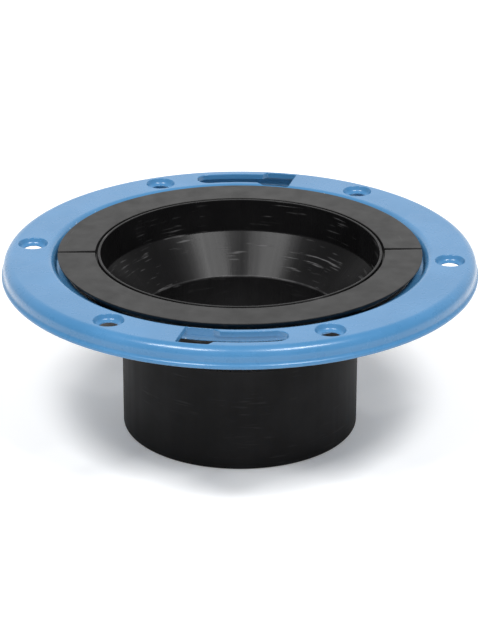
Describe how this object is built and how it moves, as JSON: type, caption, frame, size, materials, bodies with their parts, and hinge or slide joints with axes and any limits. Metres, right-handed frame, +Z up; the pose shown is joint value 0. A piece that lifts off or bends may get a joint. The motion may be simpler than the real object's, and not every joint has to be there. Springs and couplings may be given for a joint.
{
  "type": "toilet flange",
  "caption": "Closet flange: black plastic reducing hub with a spigot below, carrying a blue coated steel ring that turns freely and has keyhole bolt slots and countersunk screw holes.",
  "frame": {"origin": "centre of the spigot's lower end, on the hub axis", "axes": "+Z up along the hub axis, out of the mouth; +Y across the two bolt slots, towards the rear one; +X through one screw hole"},
  "size_m": [0.1778, 0.1778, 0.0691],
  "materials": {
    "hub_plastic": "satin black moulded ABS, faint draw streaks and scuffs inside",
    "collar_plastic": "satin black moulded ABS",
    "ring_coating": "semi-gloss blue coating on pressed steel"
  },
  "bodies": {
    "hub_body": {"hub": "hub_plastic", "collar_front": "collar_plastic", "collar_rear": "collar_plastic"},
    "ring_body": {"swivel_ring": "ring_coating"}
  },
  "joints": [
    {"name": "ring_swivel", "type": "hinge", "parent": "hub_body", "child": "ring_body", "pos_m": [0, 0, 0.0685], "axis": [0, 0, 1], "continuous": true}
  ]
}
